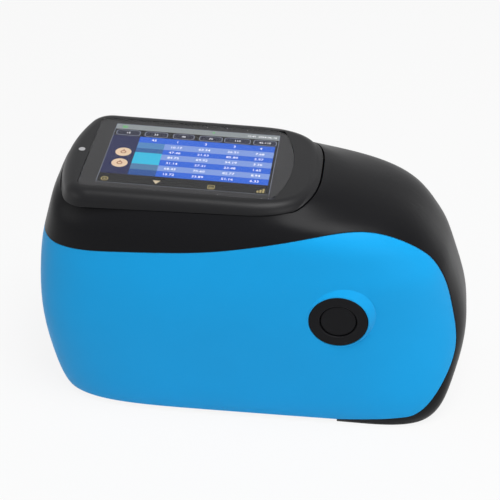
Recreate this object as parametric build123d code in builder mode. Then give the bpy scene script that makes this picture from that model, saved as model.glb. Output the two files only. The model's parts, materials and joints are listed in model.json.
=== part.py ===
from build123d import *
import os
from math import cos, pi, radians, sin, tan

os.makedirs("parts", exist_ok=True)

# All sizes are in millimetres. +X points to the nose, +Y away from the button side, +Z up.
# The origin is on the floor, under the middle of the case.

# Case
half_length = 95.6
half_width = 43.4
crown = 108.0  # top of the body, under the display bezel
wall = 2.4
seam_gap = 0.25  # between neighbouring mouldings
ground_gap = 2.0  # from the floor to the side covers and the spine
foot_length = 54.6  # of the nose foot, back from the nose end
spine_half = 10.0  # half the width of the black strip down the tail
widest_x = -7.0  # where the plan outline is widest
half_steps = 18  # steps round each half of an outline

# Body sections. Each has a height, the insets of nose, tail and sides from the overall box,
# and how square the nose and tail corners are (2 is an ellipse, more is squarer).
lower_sections = (
    (0.0, 13.6, 9.0, 4.1, 11.0, 4.2),
    (5.6, 8.7, 6.3, 2.1, 8.2, 4.1),
    (13.6, 5.0, 4.1, 1.2, 6.4, 4.1),
    (31.6, 0.3, 1.2, 0.5, 4.0, 4.3),
    (54.6, 2.6, 0.3, 0.0, 3.2, 4.1),
)
# The upper sections are measured down from the crown.
upper_sections = (
    (31.4, 11.0, 2.7, 1.5, 3.5, 4.0),
    (20.4, 18.4, 5.6, 2.8, 3.5, 4.2),
    (12.4, 27.3, 7.9, 4.4, 3.1, 4.4),
    (7.4, 38.5, 9.6, 6.8, 2.4, 4.2),
    (3.4, 53.5, 12.8, 9.4, 2.1, 4.2),
    (0.0, 68.5, 16.4, 12.4, 2.3, 4.2),
)

# Edge of a side cover, seen from the side. Heights are down from the crown or up from the floor,
# and places along X are from the middle or in from the case's ends.
seam_tail = (12.0, 25.9)
seam_middle = ((-52.0, 22.7), (-17.0, 19.9), (16.4, 13.6), (45.0, 10.6))
seam_nose = ((29.9, 16.7), (16.4, 29.0), (7.2, 53.4))
seam_foot = ((4.7, 35.6), (10.0, 20.1), (24.0, 6.0))

# Display, on a plane that dips towards the nose
screen_tilt = 1.3
screen_x = -28.7
screen_rise = 1.6  # of the screen's middle over the crown
active_length = 73.44
active_width = 48.96
bezel_depth = 7.2
bezel_half_width = 34.6
bezel_nose = 28.4
bezel_tail = 81.5
bezel_flare = 2.3  # how much the tail end widens downwards
bezel_nose_square = 3.0
bezel_end_radius = 82.0  # of the tail end's curve
bezel_corner = 11.2
bezel_roll = 5.1
bezel_seam_drop = 3.85  # of the seam under the bezel from the crown, at the middle of the case
bezel_seam_rise = 0.6  # degrees, towards the nose
bezel_wall = 2.2
bezel_gap = 0.3
glass_half_width = 28.4
glass_tail = 72.7
glass_nose = 16.2
glass_end_radius = 66.0
glass_nose_corner = 7.0
glass_tail_corner = 3.2
glass_thickness = 1.6
glass_gap = 0.1
panel_border = 3.2
panel_thickness = 3.4
frame_thickness = 1.6
frame_inset = 3.6
frame_nose = 18.0
bezel_post_radius = 1.7
bezel_post_step = 8.0  # of the nose posts, back from the end of the active area
lamp_x = -76.2
lamp_radius = 1.5
lamp_length = 2.6
lamp_slack = 0.05
ribbon_half = 6.0
ribbon_thickness = 0.3
ribbon_lead = 3.2  # from the panel's end to the ribbon's fall
ribbon_bend = 1.2
ribbon_seat = 0.2  # of the ribbon's middle over the main board
ribbon_overlap = 6.0

# Measure button on the near side, on a plane that follows the cover's curve
button_back = 55.7  # of its middle from the nose end, along X
button_height = 58.2
button_inset = 0.7  # of the ring's front from the case's widest side
button_turn = 1.0
ring_radius = 12.65
ring_flange = 14.5
ring_flange_thickness = 1.4
ring_depth = 5.2
ring_lip = 2.6
ring_fit = 0.15
ring_edge = 0.6
button_radius = 7.7
button_slack = 0.25
button_sink = 0.5
button_flange = 9.2
button_flange_thickness = 1.2
button_edge = 0.7
button_travel = 1.0
stem_radius = 2.4
stem_length = 1.9
collar_radius = 18.0
post_circle = 16.2
post_radius = 1.3
post_length = 5.4
flare_rim = 0.6  # flat rim of the cover round the ring, on a low flare
flare_width = 2.6
flare_rise = 1.4  # of the flare's foot, which spreads more above the ring
flare_depth = 2.6
switch_size = 6.0
switch_corner = 0.4
switch_height = 3.4
plunger_radius = 1.7
plunger_slack = 0.1
plunger_seat = 0.8  # of the plunger's back in the switch
board_thickness = 1.6
board_corner = 3.0

# Base and measuring port
plate_floor = 1.2
plate_top = 3.7
port_back = 49.6  # of its middle from the nose end, along X
port_radius = 9.0
port_ring_radius = 14.0
port_ring_height = 2.0
window_radius = 11.0
window_thickness = 1.2
window_gap = 0.05
pad_radius = 5.0
pad_seat = 0.6
pad_inset_x = 18.6
pad_y = 16.5
fit = 0.15
over = 1.0  # how far a cut runs past a face

# Optical bench, an arch of bores round the middle of the port
bench_inner = 20.0
bench_outer = 34.0
bench_half = 11.0
bench_step = 27.0  # where the light bores widen for the barrels
light_bore = 1.5
barrel_radius = 2.1
barrel_end = 38.0
barrel_fit = 0.08
lens_slack = 0.05
lens_seat = 1.0
lens_thickness = 1.5
receiver_angles = (60.0, 30.0, 20.0, 0.0, -30.0, -65.0)
lamp_angle = -45.0
holder_radius = 4.6
holder_bore = 3.4
holder_end = 39.0
lamp_bulb_length = 6.0
lamp_bulb_slack = 0.4
lamp_bulb_round = 1.5
lamp_board_radius = 5.5
bench_screw_x = 27.0
bench_screw_y = 7.0

# Fibres from the barrels to the spectrometer
fibre_radius = 0.8
fibre_lead = 5.0  # straight run out of each barrel
fibre_bend = 5.0
fibre_pitch = 2.0
fibre_knees = (1.48, 1.28, 1.16, 0.96, 0.48, 0.26)  # shares of the way from the collar to the port
collar_length = 8.0
collar_half = (4.0, 8.0)  # across and up
collar_round = 1.5

# Chassis, power and electronics
deck_bottom = 40.0
deck_thickness = 3.0
deck_nose = 2.0
deck_half = 27.0
pillar_radius = 4.0
post_x = (-72.0, -2.0)
post_y = 22.5
upper_pillar_radius = 3.0
main_board_bottom = 84.0
main_board_x = (-78.0, 8.0)
main_board_half = 28.0
battery_x = (-66.0, -10.0)
battery_half = 17.0
battery_height = 26.0
battery_round = 3.0
cradle_wall = 1.2
cradle_height = 14.0
spectro_x = (-58.0, -12.0)
spectro_half = 18.0
spectro_height = 24.0
spectro_wall = 2.5
spectro_lid = 2.0
spectro_corner = 2.0
mirror_place = (5.0, 9.0)  # across, and up from the spectrometer's floor
mirror_radius = 8.5
mirror_thickness = 3.0
grating_place = (9.0, -8.0)  # back from the slit wall, and across
grating_size = (4.0, 12.0, 14.0)
grating_turn = 25.0
detector_margins = (10.0, 14.0)
processor_x = (-42.0, -26.0)
processor_half = 8.0
processor_height = 1.6
beeper_place = (-40.0, 18.0)
beeper_radius = 6.0
beeper_height = 4.0
screw_radius = 1.25
screw_head = 2.5
screw_head_height = 1.4
screw_grip = 8.0
screw_socket = 1.4  # across the corners of the six-sided socket, halved
screw_socket_depth = 0.9

# Tail panel with its socket and power slider, in the black strip
panel_z = (14.0, 38.0)
panel_half = 7.5
panel_inset = 5.2  # of the panel's face from the tail end
tail_panel_thickness = 2.0
flap_z = (18.2, 31.0)
flap_half = 5.6
flap_thickness = 1.4
flap_gap = 0.4
flap_corner = 1.5
knuckle_radius = 1.1
knuckle_gap = 0.2
hinge_pin_radius = 0.6
hinge_fit = 0.05
ear_thickness = 1.2
socket_z = 25.0
socket_half_width = 4.0
socket_half_height = 1.6
socket_wall = 0.4
socket_depth = 6.5
socket_corner = 0.5
tongue_half_width = 2.6
tongue_half_height = 0.4
tail_board_half = 9.2
tail_board_bottom = 10.0
tail_board_margin = 9.0  # of the board over the slider's highest place
slider_z = 54.5
slider_travel = 3.0
slider_half_width = 2.3
slider_half_height = 2.2
slider_slack = 0.3
slider_recess = 1.2
recess_half_width = 4.6
recess_margin = 3.4
slider_sink = 0.3  # of the slider's face from the tail end
slider_edge = 0.6
slider_flange = 1.6
slider_flange_thickness = 0.8
slider_clearance = 1.2  # between the flange and the wall in front of it
actuator_half = 1.1
switch_length = 4.4
actuator_depth = 2.2  # of the slider's tip in the switch
switch_border = 3.4

foot_start = half_length - foot_length
port_x = half_length - port_back
button_x = half_length - button_back
screen_plane = Plane(
    origin=(0, 0, crown + screen_rise + screen_x * tan(radians(screen_tilt)))
).rotated((0, screen_tilt, 0))
seam_plane = Plane(origin=(0, 0, crown - bezel_seam_drop)).rotated((0, -bezel_seam_rise, 0))
button_out = Vector(sin(radians(button_turn)), -cos(radians(button_turn)), 0)
button_plane = Plane(
    origin=(button_x, button_inset - half_width, button_height),
    x_dir=(cos(radians(button_turn)), sin(radians(button_turn)), 0),
    z_dir=button_out,
)
tail_board_back = half_length - panel_inset - socket_depth
deck_top = deck_bottom + deck_thickness
main_board_top = main_board_bottom + board_thickness


def save(part, name):
    """Label one finished piece and write it."""
    part.label = name
    export_step(part, f"parts/{name}.step")


def slab(x, y, z, mode=Mode.ADD):
    """A box between pairs of limits along X, Y and Z."""
    with Locations(((x[0] + x[1]) / 2, (y[0] + y[1]) / 2, (z[0] + z[1]) / 2)):
        Box(x[1] - x[0], y[1] - y[0], z[1] - z[0], mode=mode)


def rod(plane, start, end, radius, mode=Mode.ADD):
    """A cylinder along a plane's normal, between two offsets."""
    with Locations(plane.offset(start)):
        Cylinder(radius, end - start, align=(Align.CENTER, Align.CENTER, Align.MIN), mode=mode)


def upright(x, y):
    """Plane on the floor at a place, looking up."""
    return Plane(origin=(x, y, 0))


def beam_plane(angle):
    """Plane at the middle of the port, looking out along a beam at an angle from upright."""
    turn = radians(angle)
    return Plane(origin=(port_x, 0, 0), x_dir=(0, 1, 0), z_dir=(sin(turn), 0, cos(turn)))


def outline(nose, tail, side, nose_square, tail_square):
    """Points round a plan outline, from its tail tip along the near side to the nose and back."""
    near = []
    for step in range(half_steps + 1):
        turn = pi * (1 - step / half_steps)
        along, across = cos(turn), sin(turn)
        square = nose_square if along > 0 else tail_square
        reach = nose - widest_x if along > 0 else tail + widest_x
        scale = (abs(along) ** square + abs(across) ** square) ** (-1 / square)
        near.append((widest_x + reach * along * scale, -side * across * scale))
    near[0], near[-1] = (-tail, 0), (nose, 0)
    return near + [(x, -y) for x, y in reversed(near[1:-1])]


def outline_face(*shape):
    """The closed plan outline as a face of the current sketch, with evenly spaced parameters."""
    points = [Vector(*point) for point in outline(*shape)]
    steps = [step / len(points) for step in range(len(points) + 1)]
    with BuildLine() as edge:
        add(Edge.make_spline(points, periodic=True, parameters=steps))
    make_face(edge.edges())


def hull(inset=0.0, roof=0.0, bottom=0.0):
    """The body's outer form, drawn in by inset all round and lowered by roof at its top."""
    rows = list(lower_sections) + [(crown - drop - roof, *row) for drop, *row in upper_sections]
    rows[0] = (bottom, *rows[0][1:])
    with BuildPart() as form:
        for height, nose, tail, side, nose_square, tail_square in rows:
            with BuildSketch(Plane.XY.offset(height)):
                outline_face(
                    half_length - nose - inset,
                    half_length - tail - inset,
                    half_width - side - inset,
                    nose_square,
                    tail_square,
                )
        loft()
    return form.part


def cover_edge(grow):
    """Points of a side cover's edge seen from the side, tail to nose to foot, moved out by grow."""
    points = [Vector(seam_tail[0] - half_length, crown - seam_tail[1])]
    points += [Vector(x, crown - drop) for x, drop in seam_middle]
    points += [Vector(half_length - x, crown - drop) for x, drop in seam_nose]
    points += [Vector(half_length - x, z) for x, z in seam_foot]
    ends = [points[0], *points, points[-1]]
    runs = [(after - before).normalized() for before, after in zip(ends, ends[2:])]
    return [point + grow * Vector(-run.Y, run.X) for point, run in zip(points, runs)]


def cover_field(grow, side=1):
    """Prism through one half of the case inside the cover's edge, widened all round by grow.

    The side is 1 for the near half and -1 for the far half."""
    beyond = half_length + 20
    below = -10
    with BuildPart() as field:
        with BuildSketch(Plane.XZ.offset(side * (spine_half - grow))):
            with BuildLine():
                edge = Spline(*cover_edge(grow), tangents=((1, 0.06), (-1, -0.12)))
                Polyline(edge @ 1, (foot_start, ground_gap - grow), (foot_start, below),
                         (-beyond, below), (-beyond, (edge @ 0).Y), edge @ 0)
            make_face()
        extrude(amount=side * (half_width + 10))
    return field.part


def bezel_outline(lower=0.0, inset=0.0):
    """Plan outline of the display bezel in the current sketch, at its top or lower down.

    Its nose end is round, its sides are straight and its tail end is a long curve between corners."""
    side = bezel_half_width + 0.1 * lower - inset
    reach = bezel_nose + 0.4 * lower - inset - widest_x
    tail = inset - bezel_tail - lower
    end_radius = bezel_end_radius - inset
    shoulder = tail + end_radius - (end_radius**2 - side**2) ** 0.5
    nose_end = []
    for step in range(half_steps + 1):
        turn = pi * (step / half_steps - 0.5)
        along, across = cos(turn), sin(turn)
        scale = (along**bezel_nose_square + abs(across) ** bezel_nose_square) ** (-1 / bezel_nose_square)
        nose_end.append((widest_x + reach * along * scale, side * across * scale))
    nose_end[0], nose_end[-1] = (widest_x, -side), (widest_x, side)
    with BuildLine() as edge:
        Spline(*nose_end, tangents=((1, 0), (-1, 0)))
        Line((widest_x, side), (shoulder, side))
        ThreePointArc((shoulder, side), (tail, 0), (shoulder, -side))
        Line((shoulder, -side), (widest_x, -side))
    face = make_face(edge.edges())
    fillet(face.vertices().sort_by(Axis.X)[:2], bezel_corner - inset)


def bezel_form(inset, top, low):
    """The bezel's flared form between two offsets from the screen plane, drawn in by inset."""
    with BuildPart() as form:
        with BuildSketch(screen_plane.offset(low)):
            bezel_outline(bezel_flare, inset)
        with BuildSketch(screen_plane.offset(top)):
            bezel_outline(0.0, inset)
        loft()
    return form.part


def keep_above_seam(gap=0.0):
    """Cut away what lies under the seam below the bezel, or under a gap below that seam."""
    with Locations(seam_plane.offset(-gap)):
        Box(3 * half_length, 3 * half_width, half_width,
            align=(Align.CENTER, Align.CENTER, Align.MIN), mode=Mode.INTERSECT)


def frame_outline(grow):
    """Plan outline of the display frame in the current sketch: the bezel's, cut off before its nose."""
    bezel_outline(0.0, frame_inset - grow)
    with Locations((frame_nose + grow - half_length, 0)):
        Rectangle(2 * half_length, 2 * half_width, mode=Mode.INTERSECT)


def glass_face(grow):
    """Outline of the display glass in the current sketch: straight tail end, round nose end."""
    side = glass_half_width + grow
    tail, nose = -glass_tail - grow, glass_nose + grow
    shoulder = nose - glass_end_radius + (glass_end_radius**2 - side**2) ** 0.5
    with BuildLine() as edge:
        Polyline((shoulder, side), (tail, side), (tail, -side), (shoulder, -side))
        ThreePointArc((shoulder, -side), (nose, 0), (shoulder, side))
    face = make_face(edge.edges())
    corners = face.vertices().sort_by(Axis.X)
    fillet(corners[:2], glass_tail_corner + grow)
    fillet(corners[2:], glass_nose_corner + grow)


# Case: one hollow form, cut into a black spine and two side covers

body = hull()
cavity = hull(inset=wall, roof=wall, bottom=-1.0)
above_ground = (ground_gap, crown + 10)
everywhere_x = (-half_length - 10, half_length + 10)
everywhere_y = (-half_width - 10, half_width + 10)
through_tail = (-half_length - over, -half_length + 15)
screen_bottom = -bezel_depth - bezel_gap
frame_top = -glass_thickness - glass_gap - panel_thickness

with BuildPart() as case_shell:
    add(body)
    add(cavity, mode=Mode.SUBTRACT)
    slab(everywhere_x, everywhere_y, above_ground, mode=Mode.INTERSECT)

with BuildPart() as bezel_pocket:
    add(bezel_form(-bezel_gap, 2 * bezel_depth, screen_bottom))
    keep_above_seam(bezel_gap)

with BuildPart() as frame_pocket:
    with BuildSketch(screen_plane.offset(frame_top - frame_thickness - bezel_gap)):
        frame_outline(bezel_gap)
    extrude(amount=bezel_depth)

with BuildPart() as spine_shell:
    add(case_shell.part)
    for side in (-1, 1):
        add(cover_field(seam_gap, side), mode=Mode.SUBTRACT)
    add(bezel_pocket.part, mode=Mode.SUBTRACT)
    add(frame_pocket.part, mode=Mode.SUBTRACT)
    slab(through_tail, (-panel_half, panel_half), panel_z, mode=Mode.SUBTRACT)
    slab(
        (-half_length - over, slider_recess - half_length),
        (-recess_half_width, recess_half_width),
        (slider_z - slider_half_height - recess_margin,
         slider_z + slider_travel + slider_half_height + recess_margin),
        mode=Mode.SUBTRACT,
    )
    slab(
        through_tail,
        (-slider_half_width - slider_slack, slider_half_width + slider_slack),
        (slider_z - slider_half_height - slider_slack,
         slider_z + slider_travel + slider_half_height + slider_slack),
        mode=Mode.SUBTRACT,
    )
save(spine_shell.part, "spine_shell")

with BuildPart() as far_side_cover:
    add(case_shell.part)
    add(cover_field(0.0, -1), mode=Mode.INTERSECT)
save(far_side_cover.part, "far_side_cover")

with BuildPart() as collar_form:
    rod(button_plane, -ring_depth, 2 * ring_depth, collar_radius)
    add(body, mode=Mode.INTERSECT)
    with BuildSketch(button_plane.offset(-flare_depth)):
        with Locations((0, flare_rise)):
            Circle(ring_radius + flare_rim + flare_width)
    with BuildSketch(button_plane):
        Circle(ring_radius + flare_rim)
    loft()

with BuildPart() as near_side_cover:
    add(case_shell.part)
    add(cover_field(0.0), mode=Mode.INTERSECT)
    add(collar_form.part)
    rod(button_plane, -3 * ring_depth, 2 * ring_depth, ring_radius + ring_fit, mode=Mode.SUBTRACT)
    for side in (-1, 1):
        post = button_plane.shift_origin(button_plane.from_local_coords((0, side * post_circle, 0)))
        rod(post, -ring_depth - post_length, -ring_depth, post_radius)
save(near_side_cover.part, "near_side_cover")

# Display

with BuildPart() as nose_rim:
    add(body)
    add(bezel_form(0.0, 0.0, -bezel_depth), mode=Mode.INTERSECT)
    slab((0, half_length), everywhere_y, above_ground, mode=Mode.INTERSECT)

with BuildPart() as display_bezel:
    add(bezel_form(0.0, 0.0, -bezel_depth))
    fillet(display_bezel.faces().sort_by(Axis.Z)[-1].edges(), bezel_roll)
    add(nose_rim.part)
    add(bezel_form(bezel_wall, -bezel_wall, -bezel_depth), mode=Mode.SUBTRACT)
    keep_above_seam()
    with BuildSketch(screen_plane):
        glass_face(glass_gap)
    extrude(amount=-glass_thickness, mode=Mode.SUBTRACT)
    with BuildSketch(screen_plane.offset(-glass_thickness)):
        with Locations((screen_x, 0)):
            Rectangle(active_length + 2 * (panel_border + fit), active_width + 2 * (panel_border + fit))
    extrude(amount=-bezel_depth, mode=Mode.SUBTRACT)
    rod(screen_plane.shift_origin(screen_plane.from_local_coords((lamp_x, 0, 0))),
        -bezel_depth, 5, lamp_radius, mode=Mode.SUBTRACT)
    post_out = active_width / 2 + panel_border + fit + bezel_post_radius
    for x in (screen_x - active_length / 2, screen_x + active_length / 2 - bezel_post_step):
        for y in (-post_out, post_out):
            corner = screen_plane.from_local_coords((x, y, 0))
            rod(screen_plane.shift_origin(corner), frame_top, -bezel_wall, bezel_post_radius)
save(display_bezel.part, "display_bezel")

with BuildPart() as display_glass:
    with BuildSketch(screen_plane):
        glass_face(0.0)
    extrude(amount=-glass_thickness)
save(display_glass.part, "display_glass")

with BuildPart() as display_panel:
    with BuildSketch(screen_plane.offset(-glass_thickness - glass_gap)):
        with Locations((screen_x, 0)):
            Rectangle(active_length + 2 * panel_border, active_width + 2 * panel_border)
    extrude(amount=-panel_thickness)
save(display_panel.part, "display_panel")

ribbon_x = screen_x + active_length / 2 + panel_border
ribbon_slot = 4.0
with BuildPart() as display_frame:
    with BuildSketch(screen_plane.offset(frame_top)):
        frame_outline(0.0)
        with Locations((ribbon_x + ribbon_lead, 0)):
            Rectangle(ribbon_slot, 2 * (ribbon_half + over), mode=Mode.SUBTRACT)
    extrude(amount=-frame_thickness)
save(display_frame.part, "display_frame")

with BuildPart() as display_ribbon:
    ribbon_top = screen_plane.from_local_coords((ribbon_x, 0, frame_top + panel_thickness / 2)).Z
    with BuildSketch(Plane.XZ.offset(-ribbon_half)):
        with BuildLine():
            run = FilletPolyline(
                (ribbon_x + fit, ribbon_top),
                (ribbon_x + ribbon_lead, ribbon_top),
                (ribbon_x + ribbon_lead, main_board_top + ribbon_seat),
                (main_board_x[1] - ribbon_overlap, main_board_top + ribbon_seat),
                radius=ribbon_bend,
            )
            offset(run, amount=ribbon_thickness / 2, side=Side.BOTH)
        make_face()
    extrude(amount=2 * ribbon_half)
save(display_ribbon.part, "display_ribbon")

with BuildPart() as status_lamp:
    seat = screen_plane.shift_origin(screen_plane.from_local_coords((lamp_x, 0, 0)))
    rod(seat, -lamp_length, 0.0, lamp_radius - lamp_slack)
    add(bezel_form(0.0, 0.0, -bezel_depth), mode=Mode.INTERSECT)
save(status_lamp.part, "status_lamp")

# Measure button

with BuildPart() as button_ring:
    rod(button_plane, -ring_depth, 0, ring_radius)
    rod(button_plane, -ring_depth - ring_flange_thickness, -ring_depth, ring_flange)
    rod(button_plane, -ring_lip, 0, button_radius + button_slack, mode=Mode.SUBTRACT)
    rod(button_plane, -ring_depth - ring_flange_thickness, -ring_lip, button_flange + button_slack,
        mode=Mode.SUBTRACT)
    fillet(button_ring.faces().sort_by(Axis.Y)[0].edges(), ring_edge)
save(button_ring.part, "button_ring")

flange_back = -ring_lip - button_slack - button_flange_thickness
stem_end = flange_back - stem_length
with BuildPart() as measure_button:
    rod(button_plane, flange_back, -button_sink, button_radius)
    fillet(measure_button.faces().sort_by(Axis.Y)[0].edges(), button_edge)
    rod(button_plane, flange_back, flange_back + button_flange_thickness, button_flange)
    rod(button_plane, stem_end, flange_back, stem_radius)
save(measure_button.part, "measure_button")

board_face = -ring_depth - post_length
switch_face = board_face + switch_height
with BuildPart() as switch_plunger:
    rod(button_plane, switch_face - plunger_seat, stem_end, plunger_radius)
save(switch_plunger.part, "switch_plunger")

with BuildPart() as button_switch:
    with BuildSketch(button_plane.offset(board_face)):
        RectangleRounded(switch_size, switch_size, switch_corner)
    extrude(amount=switch_height)
    rod(button_plane, switch_face - plunger_seat - button_travel - button_slack, switch_face + over,
        plunger_radius + plunger_slack, mode=Mode.SUBTRACT)
save(button_switch.part, "button_switch")

with BuildPart() as button_board:
    rod(button_plane, board_face - board_thickness, board_face, collar_radius - 0.4)
save(button_board.part, "button_board")

# Base and measuring port

pad_x = pad_inset_x - half_length
pad_places = [(pad_x, -pad_y), (pad_x, pad_y)]
pillar_places = [(x, side * post_y) for x in post_x for side in (-1, 1)]
bench_places = [(port_x + x * bench_screw_x, y * bench_screw_y) for x in (-1, 1) for y in (-1, 1)]


def plate_bottom(x):
    """Height of the base plate's underside at a place along the case."""
    return 0.0 if x > foot_start else plate_floor


with BuildPart() as base_plate:
    add(hull(inset=wall + fit, roof=wall, bottom=-1.0))
    slab(everywhere_x, everywhere_y, (plate_floor, plate_top), mode=Mode.INTERSECT)
    with BuildPart(mode=Mode.PRIVATE) as foot:
        add(body)
        slab((foot_start, everywhere_x[1]), everywhere_y, (0, ground_gap - seam_gap), mode=Mode.INTERSECT)
    add(foot.part)
    port_axis = upright(port_x, 0)
    rod(port_axis, -over, plate_top + over, window_radius + fit, mode=Mode.SUBTRACT)
    rod(port_axis, -over, port_ring_height, port_ring_radius + fit, mode=Mode.SUBTRACT)
    for x, y in pad_places:
        rod(upright(x, y), 0, plate_floor + pad_seat, pad_radius + fit, mode=Mode.SUBTRACT)
    for x, y in pillar_places + bench_places:
        rod(upright(x, y), -over, plate_top + over, screw_radius + fit, mode=Mode.SUBTRACT)
        rod(upright(x, y), -over, plate_bottom(x) + screw_head_height, screw_head + fit, mode=Mode.SUBTRACT)
save(base_plate.part, "base_plate")

with BuildPart() as foot_pads:
    for x, y in pad_places:
        rod(upright(x, y), 0, plate_floor + pad_seat, pad_radius)
save(foot_pads.part, "foot_pads")

with BuildPart() as port_ring:
    rod(port_axis, 0, port_ring_height, port_ring_radius)
    rod(port_axis, -over, port_ring_height + over, port_radius, mode=Mode.SUBTRACT)
save(port_ring.part, "port_ring")

with BuildPart() as port_window:
    window_bottom = port_ring_height + window_gap
    rod(port_axis, window_bottom, window_bottom + window_thickness, window_radius)
save(port_window.part, "port_window")

# Optical bench

with BuildPart() as optical_bench:
    with BuildSketch(Plane.XZ.offset(-bench_half)):
        with Locations((port_x, 0)):
            Circle(bench_outer)
            Circle(bench_inner, mode=Mode.SUBTRACT)
        with Locations((port_x, plate_top + bench_outer)):
            Rectangle(3 * bench_outer, 2 * bench_outer, mode=Mode.INTERSECT)
    extrude(amount=2 * bench_half)
    for angle in receiver_angles:
        rod(beam_plane(angle), bench_inner - over, bench_outer + over, light_bore, mode=Mode.SUBTRACT)
        rod(beam_plane(angle), bench_step, bench_outer + over, barrel_radius + barrel_fit, mode=Mode.SUBTRACT)
    lamp_beam = beam_plane(lamp_angle)
    rod(lamp_beam, bench_inner - over, bench_outer + over, holder_bore, mode=Mode.SUBTRACT)
    rod(lamp_beam, bench_step, bench_outer + over, holder_radius + barrel_fit, mode=Mode.SUBTRACT)
    for x, y in bench_places:
        rod(upright(x, y), 0, plate_top + screw_grip, screw_radius, mode=Mode.SUBTRACT)
save(optical_bench.part, "optical_bench")

with BuildPart() as receiver_barrels:
    for angle in receiver_angles:
        rod(beam_plane(angle), bench_step, barrel_end, barrel_radius)
    for angle in receiver_angles:
        rod(beam_plane(angle), bench_step - over, barrel_end + over, light_bore, mode=Mode.SUBTRACT)
save(receiver_barrels.part, "receiver_barrels")

lens_start = bench_step + lens_seat
with BuildPart() as receiver_lenses:
    for angle in receiver_angles:
        rod(beam_plane(angle), lens_start, lens_start + lens_thickness, light_bore - lens_slack)
save(receiver_lenses.part, "receiver_lenses")

with BuildPart() as lamp_holder:
    rod(lamp_beam, bench_step, holder_end, holder_radius)
    rod(lamp_beam, bench_step - over, holder_end + over, holder_bore, mode=Mode.SUBTRACT)
save(lamp_holder.part, "lamp_holder")

with BuildPart() as collimating_lens:
    rod(lamp_beam, lens_start, lens_start + 1.5 * lens_thickness, holder_bore - lens_slack)
save(collimating_lens.part, "collimating_lens")

with BuildPart() as lamp:
    rod(lamp_beam, holder_end - lamp_bulb_length, holder_end, holder_bore - lamp_bulb_slack)
    fillet(lamp.faces().sort_by(Axis.Z)[0].edges(), lamp_bulb_round)
save(lamp.part, "lamp")

with BuildPart() as lamp_board:
    rod(lamp_beam, holder_end, holder_end + board_thickness, lamp_board_radius)
save(lamp_board.part, "lamp_board")

fibre_end_x = spectro_x[1] + collar_length
fibre_end_z = deck_top + spectro_height / 2
with BuildPart() as fibres:
    for place, (angle, share) in enumerate(zip(receiver_angles, fibre_knees)):
        knee = fibre_end_x + share * (port_x - fibre_end_x)
        out = beam_plane(angle).z_dir
        start = Vector(port_x, 0, 0) + out * barrel_end
        height = fibre_end_z + fibre_pitch * ((len(receiver_angles) - 1) / 2 - place)
        with BuildLine() as path:
            FilletPolyline(start, start + out * fibre_lead, (knee, 0, height), (fibre_end_x, 0, height),
                           radius=fibre_bend)
        with BuildSketch(Plane(origin=start, z_dir=out)):
            Circle(fibre_radius)
        sweep(path=path.line)
save(fibres.part, "fibres")

with BuildPart() as fibre_collar:
    slab((spectro_x[1], fibre_end_x), (-collar_half[0], collar_half[0]),
         (fibre_end_z - collar_half[1], fibre_end_z + collar_half[1]))
    fillet(fibre_collar.edges().filter_by(Axis.X), collar_round)
save(fibre_collar.part, "fibre_collar")

# Chassis, battery and spectrometer

deck_tail = fit - tail_board_back + board_thickness
with BuildPart() as chassis:
    slab((deck_tail, deck_nose), (-deck_half, deck_half), (deck_bottom, deck_top))
    fillet(chassis.edges().filter_by(Axis.Z), board_corner)
    for x, y in pillar_places:
        rod(upright(x, y), plate_top, deck_bottom, pillar_radius)
        rod(upright(x, y), deck_top, main_board_bottom, upper_pillar_radius)
    for x, y in pillar_places:
        rod(upright(x, y), 0, plate_top + screw_grip, screw_radius, mode=Mode.SUBTRACT)
        rod(upright(x, y), main_board_bottom - screw_grip, main_board_bottom + over, screw_radius,
            mode=Mode.SUBTRACT)
save(chassis.part, "chassis")

with BuildPart() as battery_cradle:
    slab(battery_x, (-battery_half - fit - cradle_wall, battery_half + fit + cradle_wall),
         (plate_top, plate_top + cradle_height))
    slab((battery_x[0] - over, battery_x[1] + over), (-battery_half - fit, battery_half + fit),
         (plate_top + cradle_wall, plate_top + cradle_height + over), mode=Mode.SUBTRACT)
save(battery_cradle.part, "battery_cradle")

battery_floor = plate_top + cradle_wall
with BuildPart() as battery_pack:
    slab(battery_x, (-battery_half, battery_half), (battery_floor, battery_floor + battery_height))
    fillet(battery_pack.edges().filter_by(Axis.X), battery_round)
save(battery_pack.part, "battery_pack")

with BuildPart() as spectrometer_case:
    slab(spectro_x, (-spectro_half, spectro_half), (deck_top, deck_top + spectro_height))
    fillet(spectrometer_case.edges().filter_by(Axis.Z), spectro_corner)
    slab((spectro_x[0] + spectro_wall, spectro_x[1] - spectro_wall),
         (spectro_wall - spectro_half, spectro_half - spectro_wall),
         (deck_top + spectro_wall, deck_top + spectro_height + over), mode=Mode.SUBTRACT)
    slit = Plane(origin=(0, 0, fibre_end_z), z_dir=(1, 0, 0))
    rod(slit, spectro_x[1] - spectro_wall - over, spectro_x[1] + over, light_bore, mode=Mode.SUBTRACT)
save(spectrometer_case.part, "spectrometer_case")

with BuildPart() as spectrometer_lid:
    slab(spectro_x, (-spectro_half, spectro_half),
         (deck_top + spectro_height, deck_top + spectro_height + spectro_lid))
    fillet(spectrometer_lid.edges().filter_by(Axis.Z), spectro_corner)
save(spectrometer_lid.part, "spectrometer_lid")

optics_floor = deck_top + spectro_wall
with BuildPart() as collimator_mirror:
    mirror_axis = Plane(origin=(0, mirror_place[0], optics_floor + mirror_place[1]), z_dir=(1, 0, 0))
    mirror_back = spectro_x[0] + spectro_wall
    rod(mirror_axis, mirror_back, mirror_back + mirror_thickness, mirror_radius)
save(collimator_mirror.part, "collimator_mirror")

with BuildPart() as grating:
    with BuildSketch(Plane.XY.offset(optics_floor)):
        with Locations(Location((spectro_x[1] - grating_place[0], grating_place[1], 0),
                                (0, 0, grating_turn))):
            Rectangle(grating_size[0], grating_size[1])
    extrude(amount=grating_size[2])
save(grating.part, "grating")

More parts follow.
